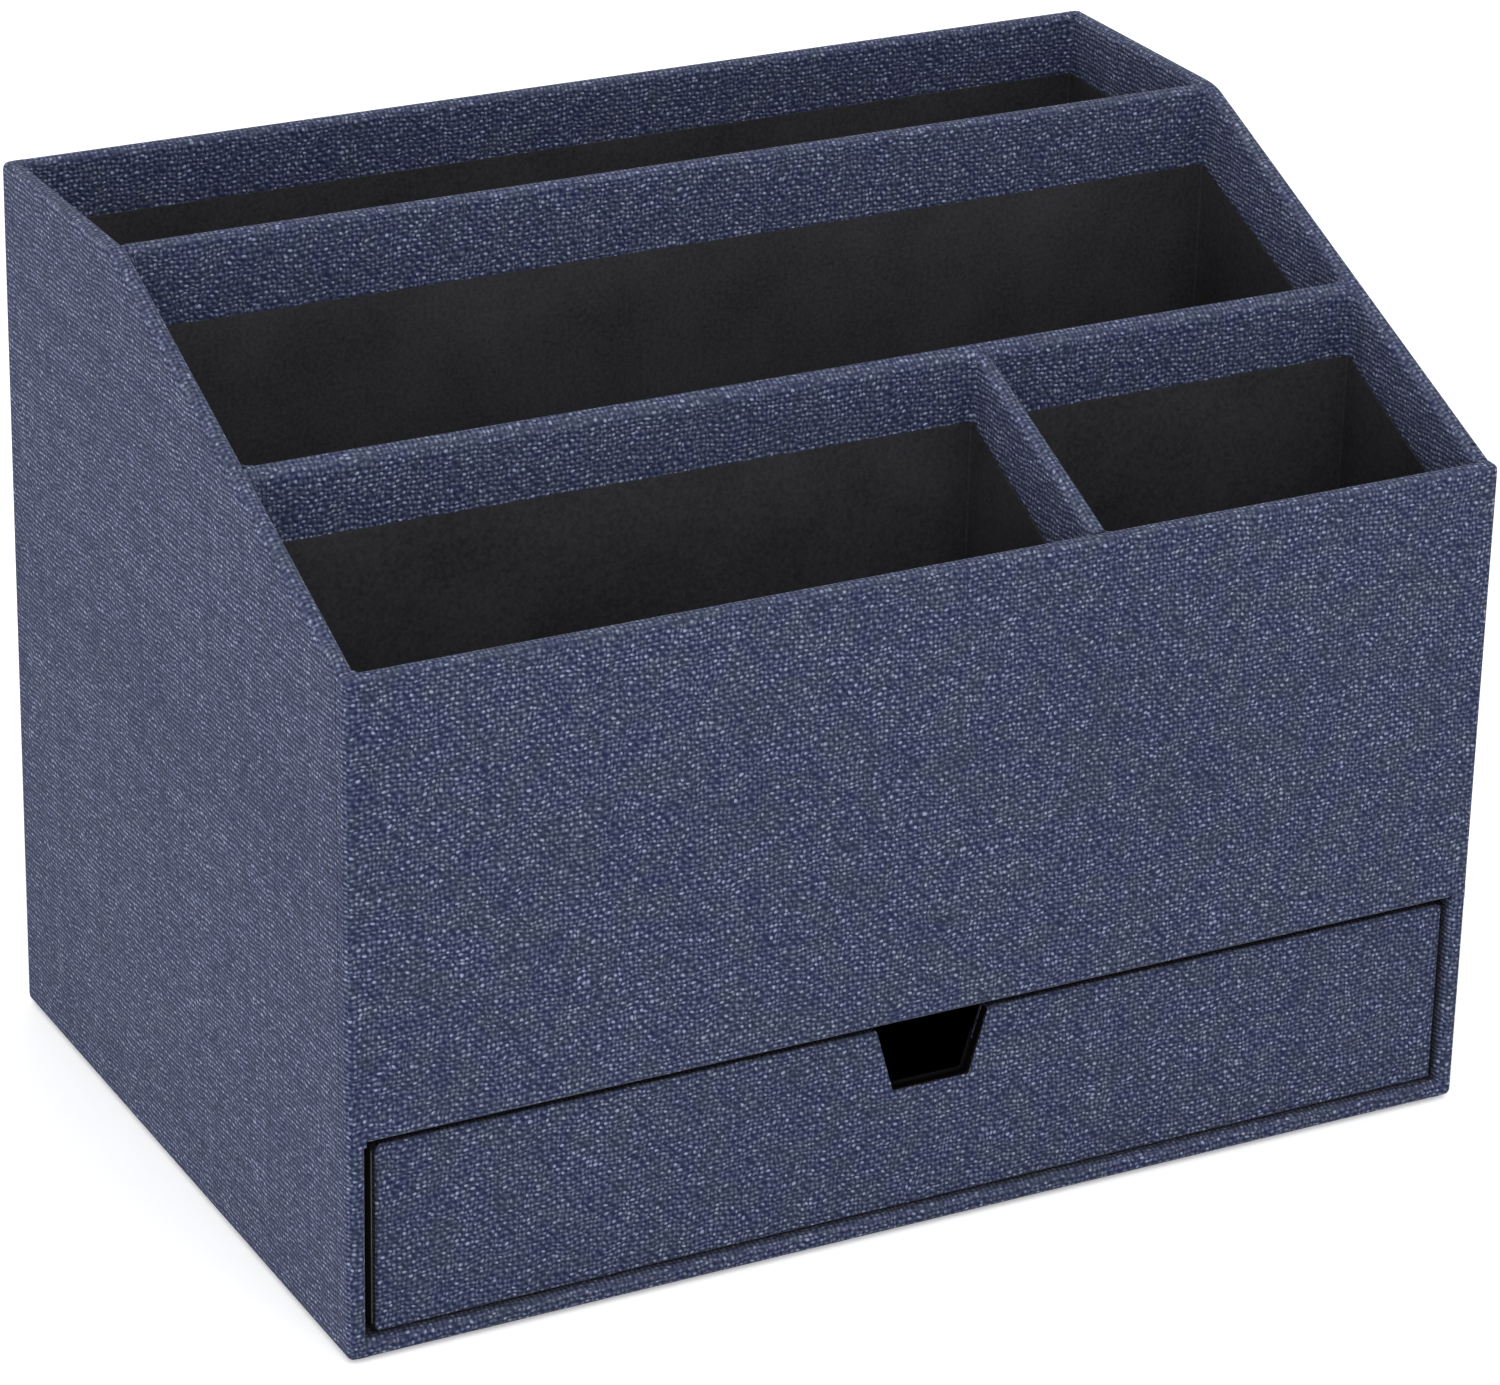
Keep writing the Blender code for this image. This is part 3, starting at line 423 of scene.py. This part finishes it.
def canvas_material(name, weave, shade, rim_runs_along_y=False):
    """Slate-blue canvas: pale nubs over a dark ground, mottled, with relief and a little sheen.

    The function shade gives how much black each spot has: painted shade in the narrow gaps, and on the
    drawer also the finger notch's black cut faces.
    """
    material, g, shader = new_material(name)
    spot = g.add("ShaderNodeTexCoord").outputs["Object"]
    normal = g.split(g.add("ShaderNodeNewGeometry").outputs["True Normal"])
    facing_x, facing_y, facing_z = (g.math("ABSOLUTE", part) for part in normal)
    on_x = g.times(g.math("GREATER_THAN", facing_x, facing_y), g.math("GREATER_THAN", facing_x, facing_z))
    on_z = g.math("GREATER_THAN", facing_z, g.math("MAXIMUM", facing_x, facing_y))
    moved = wobbled(g, spot, on_x)
    height, tone = laid_weave(g, weave, moved, on_x, on_z, rim_runs_along_y)
    base = cloth_colour(g, spot, tone, on_x)
    # Painted highlight, with a little wear, on folds that face up.
    base = g.blend(g.times(fold_share(g, facing_z), WEAR_AND_HIGHLIGHT_SHARE), base, WEAR_AND_HIGHLIGHT_GREY)
    base = g.blend(seam_share(g, spot, moved[0], moved[1]), base, CUT_EDGE)
    # Painted shade: black where the gaps round the drawer lie in shade.
    base = g.blend(shade(g, spot, facing_x, facing_y), base, NOTCH_AND_SHADE_BLACK)
    g.feed(shader.inputs["Base Color"], base)
    g.feed(shader.inputs["Normal"], g.bump(height, 1.0, THREAD_RELIEF))
    shader.inputs["Roughness"].default_value = 0.92
    shader.inputs["Specular IOR Level"].default_value = 0.10
    shader.inputs["Sheen Weight"].default_value = 0.16
    shader.inputs["Sheen Roughness"].default_value = 0.45
    shader.inputs["Sheen Tint"].default_value = SHEEN
    return material


def paper_material(name, dark, light, grain=PAPER_GRAIN, gloss=0.25):
    """Uncoated paper or board: fine fibre grain with slight clouding."""
    material, g, shader = new_material(name)
    spot = g.add("ShaderNodeTexCoord").outputs["Object"]
    fine = g.noise(spot, grain, 3.0, 0.65)
    cloud = g.noise(spot, PAPER_CLOUD_SCALE, 3.0, 0.55)
    share = g.math("MULTIPLY_ADD", fine, FINE_SHARE, g.times(cloud, CLOUD_SHARE))
    g.feed(shader.inputs["Base Color"], g.blend(g.remap(share, *NOISE_BAND), dark, light))
    g.feed(shader.inputs["Normal"], g.bump(fine, 0.6, PAPER_RELIEF))
    shader.inputs["Roughness"].default_value = 0.85
    shader.inputs["Specular IOR Level"].default_value = gloss
    return material


def drawer_shade(g, spot, facing_x, facing_y):
    """Black on the finger notch's cut faces; painted shade where the drawer's front turns back at its ends
    and round its edges, and outside its rounded corners.
    """
    x, _, z = g.split(spot)
    aside = g.math("LESS_THAN", facing_y, 0.5)
    notch = g.times(g.between(x, -NOTCH_REACH, NOTCH_REACH), g.between(z, NOTCH_LOW, NOTCH_HIGH), aside)
    # Painted shade where the front turns away from the camera side, at its ends and round its edges.
    end = g.remap(facing_x, *END_BAND, 0.0, END_SHADE)
    turned = g.math("MAXIMUM", end, g.remap(facing_y, *ROUND_BAND, ROUND_SHADE, 0.0))
    # Painted shade outside the front's rounded corners, where the gap lies in shade.
    squares = []
    for part, axis in ((x, 0), (z, 2)):
        off = g.math("ABSOLUTE", g.math("SUBTRACT", part, DRAWER_MIDDLE[axis]))
        past = g.math("SUBTRACT", off, DRAWER_REACH[axis])
        squares.append(g.math("POWER", g.math("MAXIMUM", past, 0.0), 2.0))
    past_corner = g.math("GREATER_THAN", g.math("SQRT", g.math("ADD", *squares)), DRAWER_ROUND)
    return g.math("MAXIMUM", g.math("MAXIMUM", notch, turned), past_corner)


def opening_shade(g, spot, facing_x, facing_y):
    """Painted shade: darker the further a surface lies back between the case and the drawer's front."""
    x, y, z = g.split(spot)
    inside = g.times(g.between(x, -OPENING_X, OPENING_X), g.between(z, OPENING_LOW, OPENING_HIGH),
                     g.math("LESS_THAN", y, SHADE_END + SHADE_REACH))
    return g.times(inside, g.remap(y, SHADE_START, SHADE_END, 0.0, GAP_SHARE))


def dress(names, material):
    """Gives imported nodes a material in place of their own."""
    for name in names:
        data = NODES[name].data
        data.materials.clear()
        data.materials.append(material)


WEAVE = weave_group()
CANVAS = canvas_material("canvas", WEAVE, opening_shade)
SIDE_CANVAS = canvas_material("side_canvas", WEAVE, opening_shade, rim_runs_along_y=True)
DRAWER_CANVAS = canvas_material("drawer_canvas", WEAVE, drawer_shade)
BLACK_CARD = paper_material("black_card", rgb(22, 22, 24), rgb(56, 56, 61))
BLACK_PAPER = paper_material("black_paper", rgb(28, 28, 30), rgb(42, 42, 44))
PALE_PAPER = paper_material("pale_paper", rgb(74, 71, 70), rgb(112, 107, 102))
GREYBOARD = paper_material("greyboard", rgb(128, 122, 112), rgb(160, 154, 144), grain=BOARD_GRAIN)
BLACK_BOARD = paper_material("black_board", rgb(4, 4, 5), rgb(9, 9, 10), grain=BOARD_GRAIN, gloss=0.02)
# The drawer's lining card, darker than the pockets' card: painted shade for the inside of the drawer.
SHADED_DRAWER_CARD = paper_material("shaded_drawer_card", rgb(12, 12, 14), rgb(30, 30, 33), gloss=0.04)
BOARD_NODES = [name for name in NODES if name.endswith("_board")]
dress([name for name in NODES if name.endswith("_cover")], CANVAS)
dress(["left_side_cover", "right_side_cover", "short_divider_cover"], SIDE_CANVAS)
dress(["drawer_front_cover"], DRAWER_CANVAS)
dress([name for name in NODES if name.endswith("_liner")], BLACK_CARD)
dress(["drawer_liner"], SHADED_DRAWER_CARD)
dress(["base_paper", "drawer_wrap"], BLACK_PAPER)
dress([name for name in BOARD_NODES if not name.startswith("drawer_")], GREYBOARD)
dress([name for name in BOARD_NODES if name.startswith("drawer_")], BLACK_BOARD)


def add_piece(name, mesh, material, body):
    """Puts a finished bmesh into the scene as a piece that moves with a body."""
    bmesh.ops.recalc_face_normals(mesh, faces=mesh.faces)
    data = bpy.data.meshes.new(name)
    mesh.to_mesh(data)
    mesh.free()
    data.materials.append(material)
    data.shade_smooth()
    data.set_sharp_from_angle(angle=SHARP_ANGLE)
    piece = bpy.data.objects.new(name, data)
    bpy.context.scene.collection.objects.link(piece)
    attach(piece, body)


def point(axis, along, across):
    """A point from its distance along one axis and its two distances along the others."""
    parts = list(across)
    parts.insert(axis, along)
    return parts


def extrude(mesh, axis, outline, low, high):
    """A closed solid over an outline, from one distance along an axis to another."""
    near = [mesh.verts.new(point(axis, low, across)) for across in outline]
    far = [mesh.verts.new(point(axis, high, across)) for across in outline]
    mesh.faces.new(near)
    mesh.faces.new(far)
    count = len(outline)
    for index in range(count):
        following = (index + 1) % count
        mesh.faces.new((near[index], near[following], far[following], far[index]))


def arc(centre, radius, start, turn):
    """Points round a centre, from one angle through a turn, both in degrees."""
    angles = [math.radians(start + turn * step / CORNER_STEPS) for step in range(CORNER_STEPS + 1)]
    return [(centre[0] + radius * math.cos(angle), centre[1] + radius * math.sin(angle)) for angle in angles]


def top_at(name, x, y):
    """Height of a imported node's upper surface above a spot."""
    hit, spot, _, _ = NODES[name].ray_cast((x, y, 1.0), (0.0, 0.0, -1.0))
    return spot.z if hit else TOP


def rounded_corner(mesh, x, y, way_x, way_y, low, high):
    """Fills an inner upright corner with a hollow round; the ways point into the pocket."""
    start = {(1, 1): 180, (-1, 1): 270, (-1, -1): 0, (1, -1): 90}[(way_x, way_y)]
    centre = (x + way_x * CORNER_RADIUS, y + way_y * CORNER_RADIUS)
    extrude(mesh, 2, [(x, y)] + arc(centre, CORNER_RADIUS, start, 90), low, high)


def pocket_corners(pocket, left_wall, right_wall):
    """The cloth and the card lining turn softly in a pocket's corners."""
    liner = NODES[f"{pocket}_liner"]
    low, high = box(f"{pocket}_liner")
    cloth, card = bmesh.new(), bmesh.new()
    for way_x, edge_x, wall in ((1, low[0], left_wall), (-1, high[0], right_wall)):
        for way_y, edge_y in ((1, low[1]), (-1, high[1])):
            x, y = edge_x - way_x * LINER_GAP, edge_y - way_y * LINER_GAP
            rim = max(vert.co.z for vert in liner.data.vertices if abs(vert.co.y - edge_y) < LINER_GAP)
            top = top_at(wall, x - way_x * WALL / 2, y + way_y * CORNER_RADIUS / 2) - CORNER_UNDER
            rounded_corner(cloth, x, y, way_x, way_y, rim, top)
            rounded_corner(card, edge_x, edge_y, way_x, way_y, low[2] + LINER_GAP, rim)
    add_piece(f"{pocket}_corner_cloth", cloth, CANVAS, "case")
    add_piece(f"{pocket}_corner_card", card, BLACK_CARD, "case")


def ribbon(mesh, axis, path, low, high):
    """A thin strip of cloth laid on a path round an axis, from low to high along it."""
    outer, inner = [], []
    for index, (first, second) in enumerate(path):
        before, after = path[max(index - 1, 0)], path[min(index + 1, len(path) - 1)]
        run, climb = after[0] - before[0], after[1] - before[1]
        length = math.hypot(run, climb)
        out = (-climb / length, run / length)
        outer.append((first + out[0] * PATCH_LIFT, second + out[1] * PATCH_LIFT))
        inner.append((first - out[0] * PATCH_DEPTH, second - out[1] * PATCH_DEPTH))
    extrude(mesh, axis, outer + inner[::-1], low, high)


def over_rim(start, end, start_top, end_top):
    """The path over the top of a wall, up its near face and down its far one."""
    path = [(start, start_top - RIM_LEG)]
    path += arc((start + FOLD_RADIUS, start_top - FOLD_RADIUS), FOLD_RADIUS, 180, -90)
    path += arc((end - FOLD_RADIUS, end_top - FOLD_RADIUS), FOLD_RADIUS, 90, -90)
    path.append((end, end_top - RIM_LEG))
    return path


def divider_joins(mesh, side, wall, across):
    """The cloth of the back wall and of the dividers runs on into a side's."""
    middle = side * (SIDE_X - WALL / 2)
    ribbon(mesh, 0, over_rim(BACK_FACE - WALL, BACK_FACE, TOP, TOP), *across)
    for divider in ("rear_divider_cover", "middle_divider_cover"):
        (_, near, _), (_, far, _) = box(divider)
        tops = (top_at(wall, middle, near), top_at(wall, middle, far - FOLD_RADIUS))
        ribbon(mesh, 0, over_rim(near, far, *tops), *across)


def front_joins(mesh, side, across):
    """The front wall's cloth and the lip's run on into a side's, round the drawer opening's corners."""
    outer, inner = side * SIDE_X, side * (SIDE_X - WALL)
    front_top = top_at("front_cover", 0.0, FRONT_INNER - WALL / 2)
    rim = over_rim(*sorted((outer, inner)), front_top, front_top)
    ribbon(mesh, 1, rim, FRONT_INNER - PATCH_HALF, FRONT_INNER + PATCH_HALF)
    corner = arc((side * (SIDE_X - FOLD_RADIUS), FRONT_FACE + FOLD_RADIUS), FOLD_RADIUS, 270, side * 90)
    corner = [(inner, FRONT_FACE)] + corner + [(outer, FRONT_INNER - PATCH_HALF)]
    corner = corner if side < 0 else corner[::-1]
    ribbon(mesh, 2, corner, BAY_TOP - PATCH_HALF, BAY_TOP + FOLD_RADIUS + PATCH_HALF)
    lip = [(FRONT_FACE + 2 * FOLD_RADIUS, LIP_LOW)]
    lip += arc((FRONT_FACE + FOLD_RADIUS, LIP_LOW + FOLD_RADIUS), FOLD_RADIUS, 270, -90)
    lip += arc((FRONT_FACE + FOLD_RADIUS, LIP_HIGH - FOLD_RADIUS), FOLD_RADIUS, 180, -90)
    lip.append((FRONT_FACE + 4 * FOLD_RADIUS, LIP_HIGH))
    ribbon(mesh, 0, lip, *across)


def short_divider_joins(mesh):
    """The short divider's cloth runs on into the front wall's and the middle divider's."""
    low, high = box("short_divider_cover")
    centre = (low[0] + high[0]) / 2
    ends = ((low[1] + LINER_GAP, FRONT_INNER - FOLD_RADIUS, low[1] + PATCH_HALF),
            (high[1] - LINER_GAP, high[1] - PATCH_HALF, high[1] + FOLD_RADIUS))
    for inside, start, end in ends:
        top = top_at("short_divider_cover", centre, inside)
        ribbon(mesh, 1, over_rim(centre - WALL / 2, centre + WALL / 2, top, top), start, end)


def cloth_joins():
    """Cloth that runs on where two pieces of it meet, so that only the seams that show are seen."""
    mesh = bmesh.new()
    for side, wall in ((-1, "left_side_cover"), (1, "right_side_cover")):
        inner = side * (SIDE_X - WALL)
        across = sorted((inner - side * PATCH_HALF, inner + side * FOLD_RADIUS))
        divider_joins(mesh, side, wall, across)
        front_joins(mesh, side, across)
    short_divider_joins(mesh)
    add_piece("cloth_joins", mesh, CANVAS, "case")


def paper_edge():
    """The pale cut edge of the drawer's paper wrap, which shows in the gap at the front's left end."""
    left, right = DRAWER_LOW[0] - PAPER_SHOW, DRAWER_LOW[0] + PAPER_SHOW
    front = DRAWER_LOW[1] + PAPER_BACK
    back = front + PAPER_SHOW
    edge = bmesh.new()
    outline = [(left, front), (right, front), (right, back), (left, back)]
    extrude(edge, 2, outline, DRAWER_LOW[2] + FOLD_RADIUS, DRAWER_HIGH[2] - FOLD_RADIUS)
    add_piece("drawer_paper_edge", edge, PALE_PAPER, "drawer")


pocket_corners("rear_pocket", "left_side_cover", "right_side_cover")
pocket_corners("middle_pocket", "left_side_cover", "right_side_cover")
pocket_corners("left_pocket", "left_side_cover", "short_divider_cover")
pocket_corners("right_pocket", "short_divider_cover", "right_side_cover")
cloth_joins()
paper_edge()


def make_floor():
    """A plain pale floor that the camera sees a little lighter than the lamps make it."""
    bpy.ops.mesh.primitive_plane_add(size=FLOOR_SIZE, location=(0.0, 0.0, FLOOR_HEIGHT))
    floor = bpy.context.object
    floor.name = "floor"
    material, g, shader = new_material("floor")
    shader.inputs["Base Color"].default_value = FLOOR_PALE
    shader.inputs["Roughness"].default_value = 0.9
    shader.inputs["Emission Color"].default_value = WHITE
    seen = g.add("ShaderNodeLightPath").outputs["Is Camera Ray"]
    g.feed(shader.inputs["Emission Strength"], g.times(seen, FLOOR_LIFT))
    floor.data.materials.append(material)


def area_light(name, spot, target, size, power):
    """A soft lamp that faces a target."""
    data = bpy.data.lights.new(name, "AREA")
    data.shape = "RECTANGLE"
    data.size, data.size_y = size
    data.energy = power
    light = bpy.data.objects.new(name, data)
    bpy.context.scene.collection.objects.link(light)
    light.location = spot
    aim = light.location - type(light.location)(target)
    light.rotation_mode = "QUATERNION"
    light.rotation_quaternion = aim.to_track_quat("Z", "Y")


def make_world():
    """White where the camera looks past the object, softer where it lights it."""
    world = bpy.data.worlds.new("studio")
    bpy.context.scene.world = world
    world.use_nodes = True
    g = Graph(world.node_tree)
    g.nodes.clear()
    path = g.add("ShaderNodeLightPath")
    seen = g.math("MAXIMUM", path.outputs["Is Camera Ray"], path.outputs["Is Glossy Ray"])
    seen = g.math("MAXIMUM", seen, path.outputs["Is Transmission Ray"])
    background = g.add("ShaderNodeBackground")
    background.inputs["Color"].default_value = WHITE
    g.feed(background.inputs["Strength"], g.mix(seen, AMBIENT, 1.0))
    output = g.add("ShaderNodeOutputWorld")
    g.links.new(background.outputs[0], output.inputs[0])


def make_camera():
    data = bpy.data.cameras.new("camera")
    data.sensor_fit = "AUTO"
    data.sensor_width = SENSOR_WIDTH
    data.lens = FOCAL_PIXELS / IMAGE_WIDTH * SENSOR_WIDTH
    data.shift_y = CAMERA_SHIFT
    data.clip_end = 20.0
    camera = bpy.data.objects.new("camera", data)
    bpy.context.scene.collection.objects.link(camera)
    camera.location = CAMERA_SPOT
    camera.rotation_mode = "XYZ"
    camera.rotation_euler = CAMERA_TURN
    bpy.context.scene.camera = camera


make_floor()
make_world()
area_light("key", **KEY_LIGHT)
area_light("top", **TOP_LIGHT)
make_camera()

bpy.context.scene.view_settings.view_transform = "Standard"
